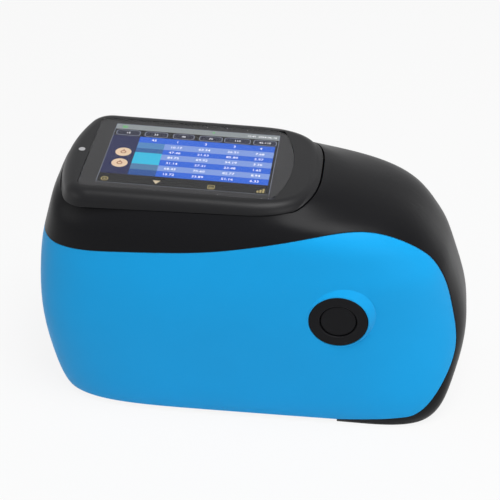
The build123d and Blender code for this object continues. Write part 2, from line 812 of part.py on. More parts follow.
with BuildPart() as detector_board:
    slab((spectro_x[0] + detector_margins[0], spectro_x[1] - detector_margins[1]),
         (spectro_wall - spectro_half, spectro_wall - spectro_half + board_thickness),
         (optics_floor, deck_top + spectro_height))
save(detector_board.part, "detector_board")

with BuildPart() as main_board:
    slab(main_board_x, (-main_board_half, main_board_half), (main_board_bottom, main_board_top))
    fillet(main_board.edges().filter_by(Axis.Z), board_corner)
    for x, y in pillar_places:
        rod(upright(x, y), main_board_bottom - over, main_board_top + over, screw_radius + fit,
            mode=Mode.SUBTRACT)
save(main_board.part, "main_board")

with BuildPart() as processor:
    slab(processor_x, (-processor_half, processor_half), (main_board_top, main_board_top + processor_height))
save(processor.part, "processor")

with BuildPart() as beeper:
    rod(upright(*beeper_place), main_board_bottom - beeper_height, main_board_bottom, beeper_radius)
save(beeper.part, "beeper")


def screw(x, y, head, tip):
    """A screw between two heights, with its head at the first."""
    rise = screw_head_height if tip > head else -screw_head_height
    rod(upright(x, y), min(head, head + rise), max(head, head + rise), screw_head)
    rod(upright(x, y), min(head, tip), max(head, tip), screw_radius)
    with BuildSketch(Plane(origin=(x, y, head))) as socket:
        RegularPolygon(screw_socket, 6)
    extrude(socket.sketch, amount=screw_socket_depth * rise / screw_head_height, mode=Mode.SUBTRACT)


with BuildPart() as base_screws:
    for x, y in pillar_places:
        screw(x, y, plate_bottom(x), plate_top + screw_grip - over)
save(base_screws.part, "base_screws")

with BuildPart() as bench_screws:
    for x, y in bench_places:
        screw(x, y, plate_bottom(x), plate_top + screw_grip - over)
save(bench_screws.part, "bench_screws")

with BuildPart() as board_screws:
    for x, y in pillar_places:
        screw(x, y, main_board_top + screw_head_height, main_board_bottom - screw_grip + over)
save(board_screws.part, "board_screws")

# Tail panel with the socket, its flap and the power slider

panel_face = panel_inset - half_length
hinge_x = panel_face - knuckle_radius - knuckle_gap
hinge_axis = Plane(origin=(hinge_x, 0, flap_z[0]), z_dir=(0, 1, 0))
ear_start = flap_half + flap_gap

with BuildPart() as tail_panel:
    slab((panel_face, panel_face + tail_panel_thickness), (fit - panel_half, panel_half - fit),
         (panel_z[0] + fit, panel_z[1] - fit))
    slab((panel_face - over, panel_face + tail_panel_thickness + over),
         (-socket_half_width - fit, socket_half_width + fit),
         (socket_z - socket_half_height - fit, socket_z + socket_half_height + fit), mode=Mode.SUBTRACT)
    for side in (-1, 1):
        span = sorted((side * ear_start, side * (ear_start + ear_thickness)))
        slab((hinge_x - knuckle_radius, panel_face), span,
             (flap_z[0] - knuckle_radius, flap_z[0] + knuckle_radius))
    rod(hinge_axis, -panel_half, panel_half, hinge_pin_radius, mode=Mode.SUBTRACT)
save(tail_panel.part, "tail_panel")

with BuildPart() as flap_pin:
    rod(hinge_axis, -ear_start - ear_thickness, ear_start + ear_thickness, hinge_pin_radius)
save(flap_pin.part, "flap_pin")

with BuildPart() as socket_flap:
    slab((panel_face - flap_gap - flap_thickness, panel_face - flap_gap), (-flap_half, flap_half), flap_z)
    fillet(socket_flap.edges().filter_by(Axis.X).group_by(Axis.Z)[-1], flap_corner)
    rod(hinge_axis, -flap_half, flap_half, knuckle_radius)
    rod(hinge_axis, -flap_half - over, flap_half + over, hinge_pin_radius + hinge_fit, mode=Mode.SUBTRACT)
save(socket_flap.part, "socket_flap")

with BuildPart() as usb_socket:
    slab((panel_face, -tail_board_back), (-socket_half_width, socket_half_width),
         (socket_z - socket_half_height, socket_z + socket_half_height))
    fillet(usb_socket.edges().filter_by(Axis.X), socket_corner)
    slab((panel_face - over, -tail_board_back - over),
         (socket_wall - socket_half_width, socket_half_width - socket_wall),
         (socket_z - socket_half_height + socket_wall, socket_z + socket_half_height - socket_wall),
         mode=Mode.SUBTRACT)
    slab((panel_face + over, -tail_board_back), (-tongue_half_width, tongue_half_width),
         (socket_z - tongue_half_height, socket_z + tongue_half_height))
save(usb_socket.part, "usb_socket")

with BuildPart() as tail_board:
    slab((-tail_board_back, board_thickness - tail_board_back), (-tail_board_half, tail_board_half),
         (tail_board_bottom, slider_z + slider_travel + tail_board_margin))
save(tail_board.part, "tail_board")

switch_x = -tail_board_back - switch_length
slider_low = slider_z - slider_half_height
slider_high = slider_z + slider_half_height
flange_start = wall + slider_clearance - half_length
flange_x = (flange_start, flange_start + slider_flange_thickness)
with BuildPart() as power_slider:
    slab((slider_sink - half_length, flange_start), (-slider_half_width, slider_half_width),
         (slider_low, slider_high))
    fillet(power_slider.edges().filter_by(Axis.X), slider_edge)
    slab(flange_x, (-slider_half_width - slider_flange, slider_half_width + slider_flange),
         (slider_low - slider_flange, slider_high + slider_flange))
    slab((flange_x[1], switch_x + actuator_depth), (-actuator_half, actuator_half),
         (slider_z - actuator_half, slider_z + actuator_half))
save(power_slider.part, "power_slider")

with BuildPart() as power_switch:
    slab((switch_x, -tail_board_back), (-switch_border, switch_border),
         (slider_low - switch_border, slider_high + slider_travel + switch_border))
    slot_half = actuator_half + slider_slack
    slab((switch_x - over, switch_x + actuator_depth + slider_slack), (-slot_half, slot_half),
         (slider_z - slot_half, slider_z + slider_travel + slot_half), mode=Mode.SUBTRACT)
save(power_switch.part, "power_switch")
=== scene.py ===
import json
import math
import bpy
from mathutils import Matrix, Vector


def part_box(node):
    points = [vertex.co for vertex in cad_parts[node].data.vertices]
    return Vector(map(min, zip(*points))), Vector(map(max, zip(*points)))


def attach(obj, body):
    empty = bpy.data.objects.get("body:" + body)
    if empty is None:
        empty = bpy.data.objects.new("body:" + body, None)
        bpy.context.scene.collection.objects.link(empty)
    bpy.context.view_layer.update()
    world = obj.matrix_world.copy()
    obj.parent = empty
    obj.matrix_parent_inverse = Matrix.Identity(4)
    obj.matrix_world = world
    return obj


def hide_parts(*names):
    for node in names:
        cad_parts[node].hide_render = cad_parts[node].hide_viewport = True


bl_info = {
    "name": "Handheld colour meter",
    "version": (1, 0, 0),
    "blender": (4, 5, 0),
    "location": "3D View > Sidebar > Colour meter",
    "description": "Finishes, screen and fine pieces of a handheld colour meter, with its studio",
    "category": "Object",
}

import bmesh
import bpy
from bpy.props import FloatProperty, FloatVectorProperty, PointerProperty
from mathutils import Matrix, Vector

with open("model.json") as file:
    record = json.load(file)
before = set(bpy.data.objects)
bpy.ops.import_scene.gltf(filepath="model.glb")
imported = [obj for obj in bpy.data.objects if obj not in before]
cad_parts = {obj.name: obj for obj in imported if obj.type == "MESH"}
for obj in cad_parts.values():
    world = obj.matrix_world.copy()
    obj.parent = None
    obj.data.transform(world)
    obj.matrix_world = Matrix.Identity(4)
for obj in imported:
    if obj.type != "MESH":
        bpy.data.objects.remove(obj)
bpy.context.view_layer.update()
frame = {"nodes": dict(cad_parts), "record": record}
nodes = frame["nodes"]

MM = 0.001

# The photograph's camera, in metres and degrees
CAMERA_PLACE = (0.05852, -0.53669, 0.43555)
CAMERA_AZIMUTH = 6.5
CAMERA_ELEVATION = 34.6
FOCAL_PIXELS = 1462.0
FRAME_PIXELS = 500.0
SENSOR_WIDTH = 36.0
CLIP_RANGE = (0.01, 20.0)

# The screen's plane, in millimetres and degrees: it dips towards the nose
SCREEN_TILT = 1.3
SCREEN_MIDDLE = (-28.7, 0.0, 109.6)
GLASS_HALF_WIDTH = 28.4
GLASS_TAIL = 72.7
GLASS_NOSE = 16.2
GLASS_END_RADIUS = 66.0
GLASS_NOSE_CORNER = 7.0
GLASS_TAIL_CORNER = 3.2
GLASS_THICKNESS = 1.6
GLASS_EDGE = 0.25  # radius of the ground edge
PRINT_INSET = 0.35
PRINT_THICKNESS = 0.02
PRINT_SINK = 0.06  # of the print in the glass's underside
PICTURE_LIFT = 0.8  # across the screen, which the glass's bending of the view takes back
PICTURE_X = (-65.5, 8.1)
PICTURE_Y = (-24.5, 24.8)
PICTURE_THICKNESS = PRINT_THICKNESS / 4
WINDOW_CORNER = 0.6
LAYER_STEP = PRINT_THICKNESS * 0.8
LAYER_TOP = 5.5  # steps from the lowest layer up to the glass's underside

# The picture's rows and columns, as it appears through the glass
STATUS_ROW = (20.4, 24.6)
BATTERY_X = (-62.4, -60.2)
CHARGE_X = (-61.9, -61.0)
MARK_X = (-21.9, -21.1)
CLOCK = "12:45  2024-06-18"
CLOCK_X = 0.2
CLOCK_HEIGHT = 1.8
TAB_ROW = (15.2, 19.8)
TABS = ((-64.4, -53.6), (-51.7, -41.3), (-39.0, -29.4), (-27.3, -16.9), (-16.1, -4.4), (-3.2, 7.2))
TAB_NUMBERS = ("15", "25", "45", "75", "110", "45-110")
TAB_NUMBER_HEIGHT = 1.9
SIDE_COLUMN = (-65.2, -53.2)
NAME_COLUMN = (-53.2, -41.4)
TABLE_COLUMN = (-41.4, 6.8)
NUMBER_COLUMNS = (-36.1, -23.6, -10.9, 0.8)
NUMBER_HEIGHT = 2.35
HEADER_ROW = (10.0, 14.8)
HEADER_NUMBERS = ((-46.6, "45"), *zip(NUMBER_COLUMNS, "1234"))
TABLE_ROWS = ((5.2, 10.0), (1.2, 5.2), (-3.4, 1.2), (-8.0, -3.4), (-12.4, -8.0), (-17.0, -12.4))
CYAN_ROW = (-7.8, 1.6)
ROUND_KEYS = ((-58.3, 1.0), (-58.3, -8.2))
ROUND_KEY_RADIUS = 3.5
KEY_MARK_RADII = (1.3, 0.7)
ICON_PLACES = ((-62.2, -21.6), (-40.1, -21.4), (-16.7, -21.9), (4.3, -21.7))
ICON_RING_RADII = (1.6, 1.15)
ICON_DOT_RADIUS = 0.5
ICON_BAR_PITCH = 1.2
ICON_BAR_WIDTH = 0.85
ICON_BAR_TOPS = (0.0, 0.8, 1.7)

# Lines in the picture: width and corner radius
FRAME_LINE = (0.22, 0.5)
BATTERY_LINE = (0.3, 0.4)
TAB_LINE = (0.35, 1.6)
BOX_LINE = (0.35, 0.6)

# Grips on the tail, in millimetres
GRIP_EDGE = 0.12
GRIP_SEAT = 0.1
SLIDER_GRIP_RISE = 0.22
SLIDER_GRIP_HALF = (1.5, 0.25)
SLIDER_GRIP_PITCH = 1.1
FLAP_GRIP_RISE = 0.4
FLAP_GRIP_HALF = (3.0, 0.3)
FLAP_GRIP_PITCH = 1.2
FLAP_GRIP_DROP = 1.6  # of the highest bar from the flap's top
FLAP_FACE = 0.6  # in from the flap's hinge knuckle

# Rims of the round pieces underneath, in millimetres
PORT_RADII = (9.0, 14.0)
PORT_CHAMFER = 0.7
PORT_STEPS = 96
PAD_DISH = (2.6, 0.5)  # radius and depth
PAD_RIM = 0.5
WELD = 0.01

# Meshes
SHARP_ANGLE = 32.0  # degrees between faces, past which an edge is shaded sharp
CORNER_STEPS = 5
TURN_STEPS = 48
EDGE_STEPS = 2
BLOCK_EDGE_STEPS = 3

# Finishes: noise scales over the object's own metres, and depths in metres
GRAIN_SCALE = 2500.0
GRAIN_DEPTH = 0.00002
GRAIN_SPREAD = 0.08
GRAIN_BUMP = 0.5
BROAD_GRAIN_SCALE = 38.0
NOISE_ROUGHNESS = 0.55
TONE_SCALE = 22.0
DUST_SCALE = 1400.0
DUST_FLOOR = 0.74  # of the noise, above which a speck lies
DUST_COLOUR = (0.7, 0.7, 0.68, 1)
WEAR_REACH = 0.00035
WEAR_SCALE = 260.0
WEAR_SAMPLES = 4
BRUSH_STRETCH = (60.0, 900.0, 900.0)
BRUSH_SCALE = 3.0
BRUSH_BUMP = 0.3
WIPE_SCALE = 420.0

# The floor and the lamps, in metres
FLOOR_HALF = 4.0
FLOOR_TONE = 0.65
FLOOR_GLOW = 0.88  # share of plain white in the floor that the camera sees
LAMPS = (  # name, place, aim and size
    ("overhead", (0.18, -0.18, 0.92), (0, 0, 0.08), (0.52, 0.42)),
    ("nose side", (0.75, -0.90, 0.40), (0, 0, 0.06), (0.9, 0.6)),
    ("tail side", (-0.95, -0.50, 0.35), (0, 0, 0.06), (0.6, 0.6)),
)
TAIL_SHARE = 0.4  # of the side light's power, for the lamp on the tail's side


def settings():
    """The user's settings on the scene."""
    return bpy.context.scene.colour_meter


def screen_frame(depth=0.0):
    """Matrix from millimetres on the screen's plane to metres, at a depth under the glass's face."""
    tilt = math.radians(SCREEN_TILT)
    rise = SCREEN_MIDDLE[2] + SCREEN_MIDDLE[0] * math.tan(tilt)
    return (Matrix.Scale(MM, 4) @ Matrix.Translation((0, 0, rise))
            @ Matrix.Rotation(tilt, 4, "Y") @ Matrix.Translation((0, 0, -depth)))


# Mesh helpers


def place_piece(name, form, slot, body="case", *replaced):
    """Turn a bmesh into a shown piece with its finish and its body, and hide the nodes that it replaces."""
    mesh = bpy.data.meshes.new(name)
    bmesh.ops.recalc_face_normals(form, faces=form.faces)
    form.to_mesh(mesh)
    form.free()
    thing = bpy.data.objects.new(name, mesh)
    bpy.context.scene.collection.objects.link(thing)
    soften(mesh)
    mesh.materials.append(finish(slot))
    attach(thing, body)
    if replaced:
        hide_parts(*replaced)
    return thing


def soften(mesh):
    """Shade a mesh smooth except over its real edges."""
    for face in mesh.polygons:
        face.use_smooth = True
    mesh.set_sharp_from_angle(angle=math.radians(SHARP_ANGLE))


def add_mesh(form, data, matrix):
    """Append a data block's evaluated mesh to a bmesh, moved by a matrix."""
    thing = bpy.data.objects.new("maker", data)
    bpy.context.scene.collection.objects.link(thing)
    ready = thing.evaluated_get(bpy.context.evaluated_depsgraph_get())
    mesh = bpy.data.meshes.new_from_object(ready)
    mesh.transform(matrix)
    form.from_mesh(mesh)
    bpy.data.meshes.remove(mesh)
    bpy.data.objects.remove(thing)
    bpy.data.curves.remove(data)


def add_plate(form, outlines, thickness, matrix, round_edge=0.0):
    """A plate from closed outlines, where one inside another is a hole; it lies over the matrix's plane."""
    curve = bpy.data.curves.new("plate", "CURVE")
    curve.dimensions = "2D"
    curve.fill_mode = "BOTH"
    curve.extrude = thickness / 2 - round_edge
    curve.bevel_depth = round_edge
    curve.bevel_resolution = EDGE_STEPS
    curve.offset = -round_edge
    for points in outlines:
        spline = curve.splines.new("POLY")
        spline.points.add(len(points) - 1)
        for point, (x, y) in zip(spline.points, points):
            point.co = (x, y, 0, 1)
        spline.use_cyclic_u = True
    add_mesh(form, curve, matrix @ Matrix.Translation((0, 0, thickness / 2)))


def add_words(form, text, x, y, height, thickness, matrix):
    """Words or numbers centred on a place of the matrix's plane."""
    curve = bpy.data.curves.new("words", "FONT")
    curve.body = text
    curve.size = height
    curve.align_x, curve.align_y = "CENTER", "CENTER"
    curve.extrude = thickness / 2
    curve.resolution_u = 2
    add_mesh(form, curve, matrix @ Matrix.Translation((x, y, thickness / 2)))


def arc(x, y, radius, start, end, steps=8):
    """Points of an arc between two angles in degrees."""
    turns = [math.radians(start + (end - start) * step / steps) for step in range(steps + 1)]
    return [(x + radius * math.cos(turn), y + radius * math.sin(turn)) for turn in turns]


def circle(x, y, radius, steps=40):
    """A closed circle."""
    return arc(x, y, radius, 0, 360, steps)[:-1]


def rounded(x, y, radius):
    """A rectangle between pairs of limits, with round corners."""
    corners = ((x[1], y[1], 0), (x[0], y[1], 90), (x[0], y[0], 180), (x[1], y[0], 270))
    points = []
    for corner_x, corner_y, start in corners:
        inner_x = corner_x + (-radius if corner_x == x[1] else radius)
        inner_y = corner_y + (-radius if corner_y == y[1] else radius)
        points += arc(inner_x, inner_y, radius, start, start + 90, CORNER_STEPS)
    return points


def glass_outline(inset):
    """The glass's outline drawn in: a straight tail end and a round nose end."""
    half, tail, nose = GLASS_HALF_WIDTH - inset, -GLASS_TAIL + inset, GLASS_NOSE - inset
    end, corner, back = GLASS_END_RADIUS - inset, GLASS_NOSE_CORNER - inset, GLASS_TAIL_CORNER - inset
    corner_x = nose - end + math.sqrt((end - corner) ** 2 - (half - corner) ** 2)
    turn = math.degrees(math.atan2(half - corner, corner_x - nose + end))
    return (arc(tail + back, -half + back, back, 180, 270)
            + arc(corner_x, -half + corner, corner, -90, -turn)
            + arc(nose - end, 0, end, -turn, turn, 24)[1:-1]
            + arc(corner_x, half - corner, corner, turn, 90)
            + arc(tail + back, half - back, back, 90, 180))


def add_turned(form, profile, matrix, steps=TURN_STEPS):
    """A solid turned from (radius, height) points about the matrix's Z axis."""
    turns = [2 * math.pi * step / steps for step in range(steps)]
    rings = []
    for radius, height in profile:
        places = [(radius * math.cos(turn), radius * math.sin(turn), height) for turn in turns]
        if radius == 0:
            places = [(0, 0, height)]
        rings.append([form.verts.new(matrix @ Vector(place)) for place in places])
    for low, high in zip(rings, rings[1:]):
        for step in range(steps):
            after = (step + 1) % steps
            corners = [low[step % len(low)], low[after % len(low)],
                       high[after % len(high)], high[step % len(high)]]
            form.faces.new(list(dict.fromkeys(corners)))


def node_box(name):
    """Lowest and highest corner of a CAD node, in millimetres."""
    low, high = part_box(name)
    return low / MM, high / MM


def add_block(form, x, y, z, edge, matrix):
    """A box between pairs of limits with rounded edges, moved by a matrix."""
    made = bmesh.ops.create_cube(form, size=1.0)["verts"]
    size = Vector((x[1] - x[0], y[1] - y[0], z[1] - z[0]))
    middle = Vector((x[0] + x[1], y[0] + y[1], z[0] + z[1])) / 2
    for vert in made:
        vert.co = Vector(a * b for a, b in zip(vert.co, size)) + middle
    edges = list({line for vert in made for line in vert.link_edges})
    rounder = bmesh.ops.bevel(form, geom=edges, offset=edge, segments=BLOCK_EDGE_STEPS,
                              profile=0.5, affect="EDGES")
    whole = {vert for face in rounder["faces"] for vert in face.verts}
    bmesh.ops.transform(form, matrix=matrix, verts=list(whole))


# Shared shader effects


def new_group(name, inputs, outputs):
    """An empty shader node group with named sockets; inputs are (name, kind, default)."""
    group = bpy.data.node_groups.new(name, "ShaderNodeTree")
    for label, kind, default in inputs:
        socket = group.interface.new_socket(label, in_out="INPUT", socket_type=kind)
        socket.default_value = default
    for label, kind in outputs:
        group.interface.new_socket(label, in_out="OUTPUT", socket_type=kind)
    return group, group.nodes.new("NodeGroupInput"), group.nodes.new("NodeGroupOutput")


def link(tree, source, target):
    """Join two sockets."""
    tree.links.new(source, target)


def math_node(tree, operation, *values):
    """A Math node whose inputs are sockets or numbers; gives its output."""
    node = tree.nodes.new("ShaderNodeMath")
    node.operation = operation
    for place, value in enumerate(values):
        if isinstance(value, bpy.types.NodeSocket):
            link(tree, value, node.inputs[place])
        else:
            node.inputs[place].default_value = value
    return node.outputs[0]


def noise(tree, scale, detail):
    """Noise over the object's own coordinates; scale is a socket or a number."""
    place = tree.nodes.new("ShaderNodeTexCoord")
    texture = tree.nodes.new("ShaderNodeTexNoise")
    texture.inputs["Detail"].default_value = detail
    texture.inputs["Roughness"].default_value = NOISE_ROUGHNESS
    link(tree, place.outputs["Object"], texture.inputs["Vector"])
    if isinstance(scale, bpy.types.NodeSocket):
        link(tree, scale, texture.inputs["Scale"])
    else:
        texture.inputs["Scale"].default_value = scale
    return texture.outputs["Fac"]


def mix_colour(tree, amount, first, second):
    """Mix from a first colour's socket towards a second, plain colour; gives its output."""
    mix = tree.nodes.new("ShaderNodeMix")
    mix.data_type = "RGBA"
    link(tree, amount, mix.inputs["Factor"])
    link(tree, first, mix.inputs["A"])
    mix.inputs["B"].default_value = second
    return mix.outputs["Result"]


def background_rays(tree):
    """1 for the rays that show the background: the camera's, and those off or through a clear surface."""
    ray = tree.nodes.new("ShaderNodeLightPath")
    seen = math_node(tree, "MAXIMUM", ray.outputs["Is Camera Ray"], ray.outputs["Is Glossy Ray"])
    return math_node(tree, "MAXIMUM", seen, ray.outputs["Is Transmission Ray"])


def grain_group():
    """Fine moulded grain: a height for a bump, and a roughness that varies with it."""
    group, given, made = new_group(
        "Moulded grain",
        [("Scale", "NodeSocketFloat", GRAIN_SCALE), ("Roughness", "NodeSocketFloat", 0.4),
         ("Spread", "NodeSocketFloat", 0.06)],
        [("Height", "NodeSocketFloat"), ("Roughness", "NodeSocketFloat")],
    )
    fine = noise(group, given.outputs["Scale"], detail=2.0)
    broad = noise(group, BROAD_GRAIN_SCALE, detail=4.0)
    link(group, fine, made.inputs["Height"])
    centred = math_node(group, "SUBTRACT", broad, 0.5)
    spread = math_node(group, "MULTIPLY", centred, given.outputs["Spread"])
    total = math_node(group, "ADD", given.outputs["Roughness"], spread)
    link(group, total, made.inputs["Roughness"])
    return group


def tone_group():
    """Colour that drifts a little in tone over the piece, with fine dust in it."""
    group, given, made = new_group(
        "Tone drift",
        [("Colour", "NodeSocketColor", (0.5, 0.5, 0.5, 1)), ("Drift", "NodeSocketFloat", 0.1),
         ("Dust", "NodeSocketFloat", 0.02)],
        [("Colour", "NodeSocketColor")],
    )
    broad = noise(group, TONE_SCALE, detail=3.0)
    centred = math_node(group, "SUBTRACT", broad, 0.5)
    change = math_node(group, "MULTIPLY", centred, given.outputs["Drift"])
    value = math_node(group, "ADD", change, 1.0)
    tone = group.nodes.new("ShaderNodeHueSaturation")
    link(group, given.outputs["Colour"], tone.inputs["Color"])
    link(group, value, tone.inputs["Value"])
    specks = noise(group, DUST_SCALE, detail=1.0)
    sparse = math_node(group, "GREATER_THAN", specks, DUST_FLOOR)
    amount = math_node(group, "MULTIPLY", sparse, given.outputs["Dust"])
    link(group, mix_colour(group, amount, tone.outputs["Color"], DUST_COLOUR), made.inputs["Colour"])
    return group


def wear_group():
    """Mask of the outer edges, where handling rubs a finish paler, with the normal rounded over them."""
    group, given, made = new_group(
        "Edge wear",
        [("Reach", "NodeSocketFloat", WEAR_REACH), ("Amount", "NodeSocketFloat", 0.5)],
        [("Mask", "NodeSocketFloat"), ("Normal", "NodeSocketVector")],
    )
    rounder = group.nodes.new("ShaderNodeBevel")
    rounder.samples = WEAR_SAMPLES
    link(group, given.outputs["Reach"], rounder.inputs["Radius"])
    link(group, rounder.outputs["Normal"], made.inputs["Normal"])
    plain = group.nodes.new("ShaderNodeNewGeometry")
    dot = group.nodes.new("ShaderNodeVectorMath")
    dot.operation = "DOT_PRODUCT"
    link(group, rounder.outputs["Normal"], dot.inputs[0])
    link(group, plain.outputs["Normal"], dot.inputs[1])
    bend = math_node(group, "SUBTRACT", 1.0, dot.outputs["Value"])
    patches = noise(group, WEAR_SCALE, detail=5.0)
    broken = math_node(group, "MULTIPLY", bend, patches)
    mask = math_node(group, "MULTIPLY", broken, given.outputs["Amount"])
    clamp = group.nodes.new("ShaderNodeClamp")
    link(group, mask, clamp.inputs["Value"])
    link(group, clamp.outputs["Result"], made.inputs["Mask"])
    return group


def brushed_group():
    """Fine lines along one way, for turned and brushed metal."""
    group, given, made = new_group(
        "Brushed lines",
        [("Roughness", "NodeSocketFloat", 0.3), ("Spread", "NodeSocketFloat", 0.15)],
        [("Height", "NodeSocketFloat"), ("Roughness", "NodeSocketFloat")],
    )
    place = group.nodes.new("ShaderNodeTexCoord")
    stretch = group.nodes.new("ShaderNodeMapping")
    stretch.inputs["Scale"].default_value = BRUSH_STRETCH
    texture = group.nodes.new("ShaderNodeTexNoise")
    texture.inputs["Scale"].default_value = BRUSH_SCALE
    texture.inputs["Detail"].default_value = 4.0
    link(group, place.outputs["Object"], stretch.inputs["Vector"])
    link(group, stretch.outputs["Vector"], texture.inputs["Vector"])
    link(group, texture.outputs["Fac"], made.inputs["Height"])
    change = math_node(group, "MULTIPLY", texture.outputs["Fac"], given.outputs["Spread"])
    total = math_node(group, "ADD", given.outputs["Roughness"], change)
    link(group, total, made.inputs["Roughness"])
    return group


EFFECTS = {}


def effect(material, name, **values):
    """Place a shared effect in a material with its own values."""
    node = material.node_tree.nodes.new("ShaderNodeGroup")
    node.node_tree = EFFECTS[name]
    for label, value in values.items():
        node.inputs[label].default_value = value
    return node


def new_material(name):
    """A node material with its Principled shader."""
    material = bpy.data.materials.new(name)
    material.use_nodes = True
    shader = next(n for n in material.node_tree.nodes if n.type == "BSDF_PRINCIPLED")
    return material, material.node_tree, shader


def bump(tree, height, strength, depth, shader, normal=None):
    """A bump from a height into the shader's normal, over a given normal."""
    node = tree.nodes.new("ShaderNodeBump")
    if normal is not None:
        link(tree, normal, node.inputs["Normal"])
    node.inputs["Strength"].default_value = strength
    node.inputs["Distance"].default_value = depth
    link(tree, height, node.inputs["Height"])
    link(tree, node.outputs["Normal"], shader.inputs["Normal"])


def moulded(name, colour, roughness=0.4, depth=GRAIN_DEPTH, dust=0.02, wear=0.5,
            worn=(0.5, 0.5, 0.5), specular=0.5, sheen=0.0):
    """Moulded or painted plastic with grain, a drifting tone and rubbed edges."""
    material, tree, shader = new_material(name)
    skin = effect(material, "grain", Scale=GRAIN_SCALE, Roughness=roughness, Spread=GRAIN_SPREAD)
    tone = effect(material, "tone", Colour=(*colour, 1), Drift=0.08, Dust=dust)
    rub = effect(material, "wear", Reach=WEAR_REACH, Amount=wear)
    worn_tone = mix_colour(tree, rub.outputs["Mask"], tone.outputs["Colour"], (*worn, 1))
    link(tree, worn_tone, shader.inputs["Base Color"])
    link(tree, skin.outputs["Roughness"], shader.inputs["Roughness"])
    shader.inputs["Specular IOR Level"].default_value = specular
    shader.inputs["Sheen Weight"].default_value = sheen
    bump(tree, skin.outputs["Height"], GRAIN_BUMP, depth, shader, rub.outputs["Normal"])
    return material


def metal(name, colour, roughness=0.3, spread=0.15):
    """Brushed or turned metal."""
    material, tree, shader = new_material(name)
    lines = effect(material, "brushed", Roughness=roughness, Spread=spread)
    tone = effect(material, "tone", Colour=(*colour, 1), Drift=0.1, Dust=0.0)
    link(tree, tone.outputs["Colour"], shader.inputs["Base Color"])
    link(tree, lines.outputs["Roughness"], shader.inputs["Roughness"])
    shader.inputs["Metallic"].default_value = 1.0
    bump(tree, lines.outputs["Height"], BRUSH_BUMP, GRAIN_DEPTH, shader)
    return material


def clear(name, colour, ior=1.5):
    """Glass with faint wiping marks in its polish."""
    material, tree, shader = new_material(name)
    skin = effect(material, "grain", Scale=WIPE_SCALE, Roughness=0.02, Spread=0.03)
    shader.inputs["Base Color"].default_value = (*colour, 1)
    link(tree, skin.outputs["Roughness"], shader.inputs["Roughness"])
    shader.inputs["Transmission Weight"].default_value = 1.0
    shader.inputs["IOR"].default_value = ior
    return material


def lit(name, colour, strength=1.0):
    """Part of the lit picture behind the glass, with the panel's uneven light."""
    material, tree, shader = new_material(name)
    tone = effect(material, "tone", Colour=(*colour, 1), Drift=0.12, Dust=0.0)
    shader.inputs["Base Color"].default_value = (0.0, 0.0, 0.0, 1)
    shader.inputs["Roughness"].default_value = 0.5
    shader.inputs["Specular IOR Level"].default_value = 0.0
    link(tree, tone.outputs["Colour"], shader.inputs["Emission Color"])
    shader.inputs["Emission Strength"].default_value = strength
    return material


FINISHES = {}


def finish(slot):
    """The material of a record slot."""
    return FINISHES[slot]


class MeterFinish(bpy.types.PropertyGroup):
    """Colours of the case."""
    blue: FloatVectorProperty(
        name="Cover blue", description="Colour of the two side covers", subtype="COLOR",
        size=3, min=0, max=1, default=(0.004, 0.325, 0.710))
    black: FloatVectorProperty(
        name="Body black", description="Colour of the body and the display bezel", subtype="COLOR",
        size=3, min=0, max=1, default=(0.005, 0.005, 0.006))


class MeterStudio(bpy.types.PropertyGroup):
    """The studio round the meter."""
    sky: FloatProperty(
        name="Surround", description="Strength of the even light from all sides", default=0.3, min=0)
    key: FloatProperty(
        name="Overhead light", description="Power of the large soft light above", default=7.0,
        min=0, subtype="POWER", unit="POWER")
    fill: FloatProperty(
        name="Side light", description="Power of the soft light beside the nose", default=4.6,
        min=0, subtype="POWER", unit="POWER")


class MeterSettings(bpy.types.PropertyGroup):
    """All settings of the meter."""
    finish: PointerProperty(type=MeterFinish)
    studio: PointerProperty(type=MeterStudio)


def build_effects():
    """The shared effects, once."""
    EFFECTS.update(grain=grain_group(), tone=tone_group(), wear=wear_group(), brushed=brushed_group())


